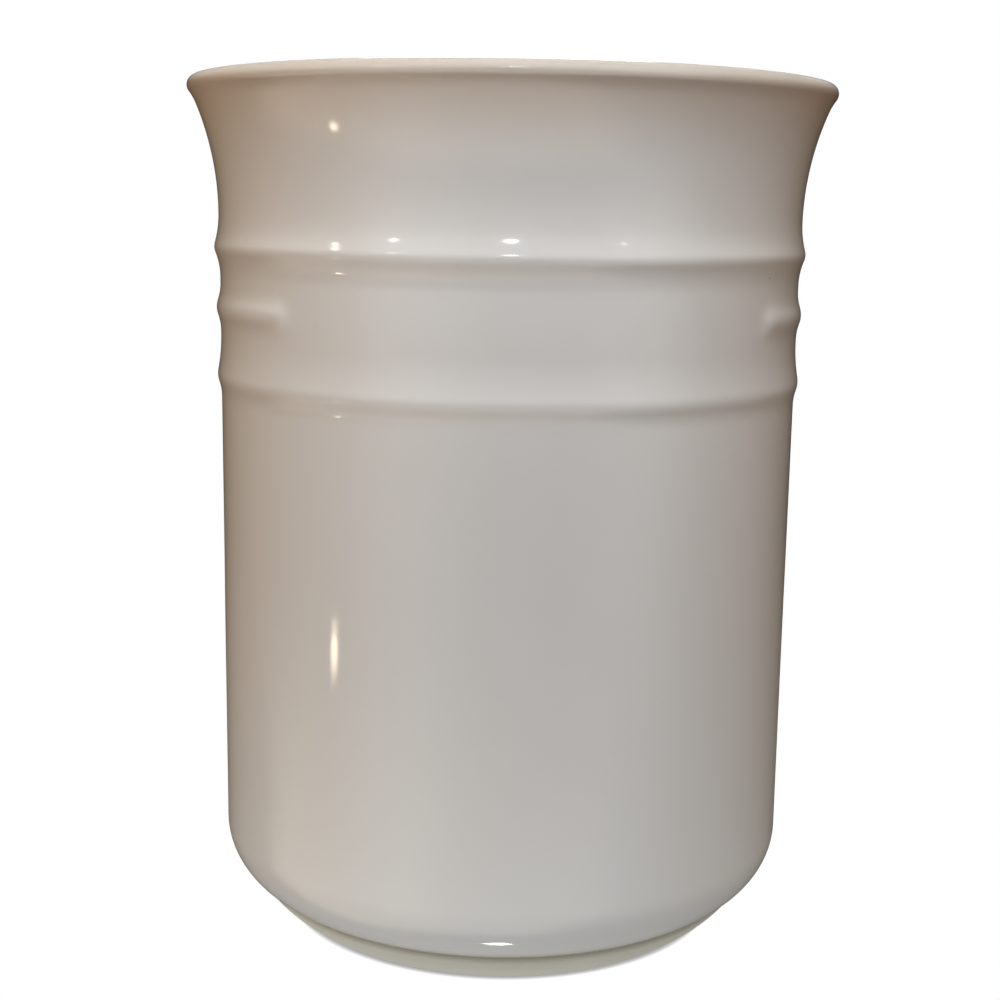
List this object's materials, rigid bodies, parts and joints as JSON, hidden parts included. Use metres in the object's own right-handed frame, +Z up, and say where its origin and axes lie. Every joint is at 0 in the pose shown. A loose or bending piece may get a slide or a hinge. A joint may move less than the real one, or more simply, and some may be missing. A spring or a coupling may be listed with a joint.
{
  "type": "utensil crock",
  "caption": "Straight-sided round stoneware crock with a flared rim, raised bands under the neck and a low bare foot ring, glazed gloss white, for holding kitchen utensils.",
  "frame": {"origin": "middle of the underside of the foot ring, on the surface that the crock stands on", "axes": "+Z up along the axis of the crock, -Y towards the front panel between the ends of the middle bead"},
  "size_m": [0.1152, 0.1152, 0.152],
  "materials": {
    "bare_stoneware": "matte",
    "white_glaze": "gloss"
  },
  "bodies": {
    "root": {"stoneware_body": "bare_stoneware", "outer_glaze": "white_glaze", "inner_glaze": "white_glaze", "underside_glaze": "white_glaze"}
  },
  "joints": []
}
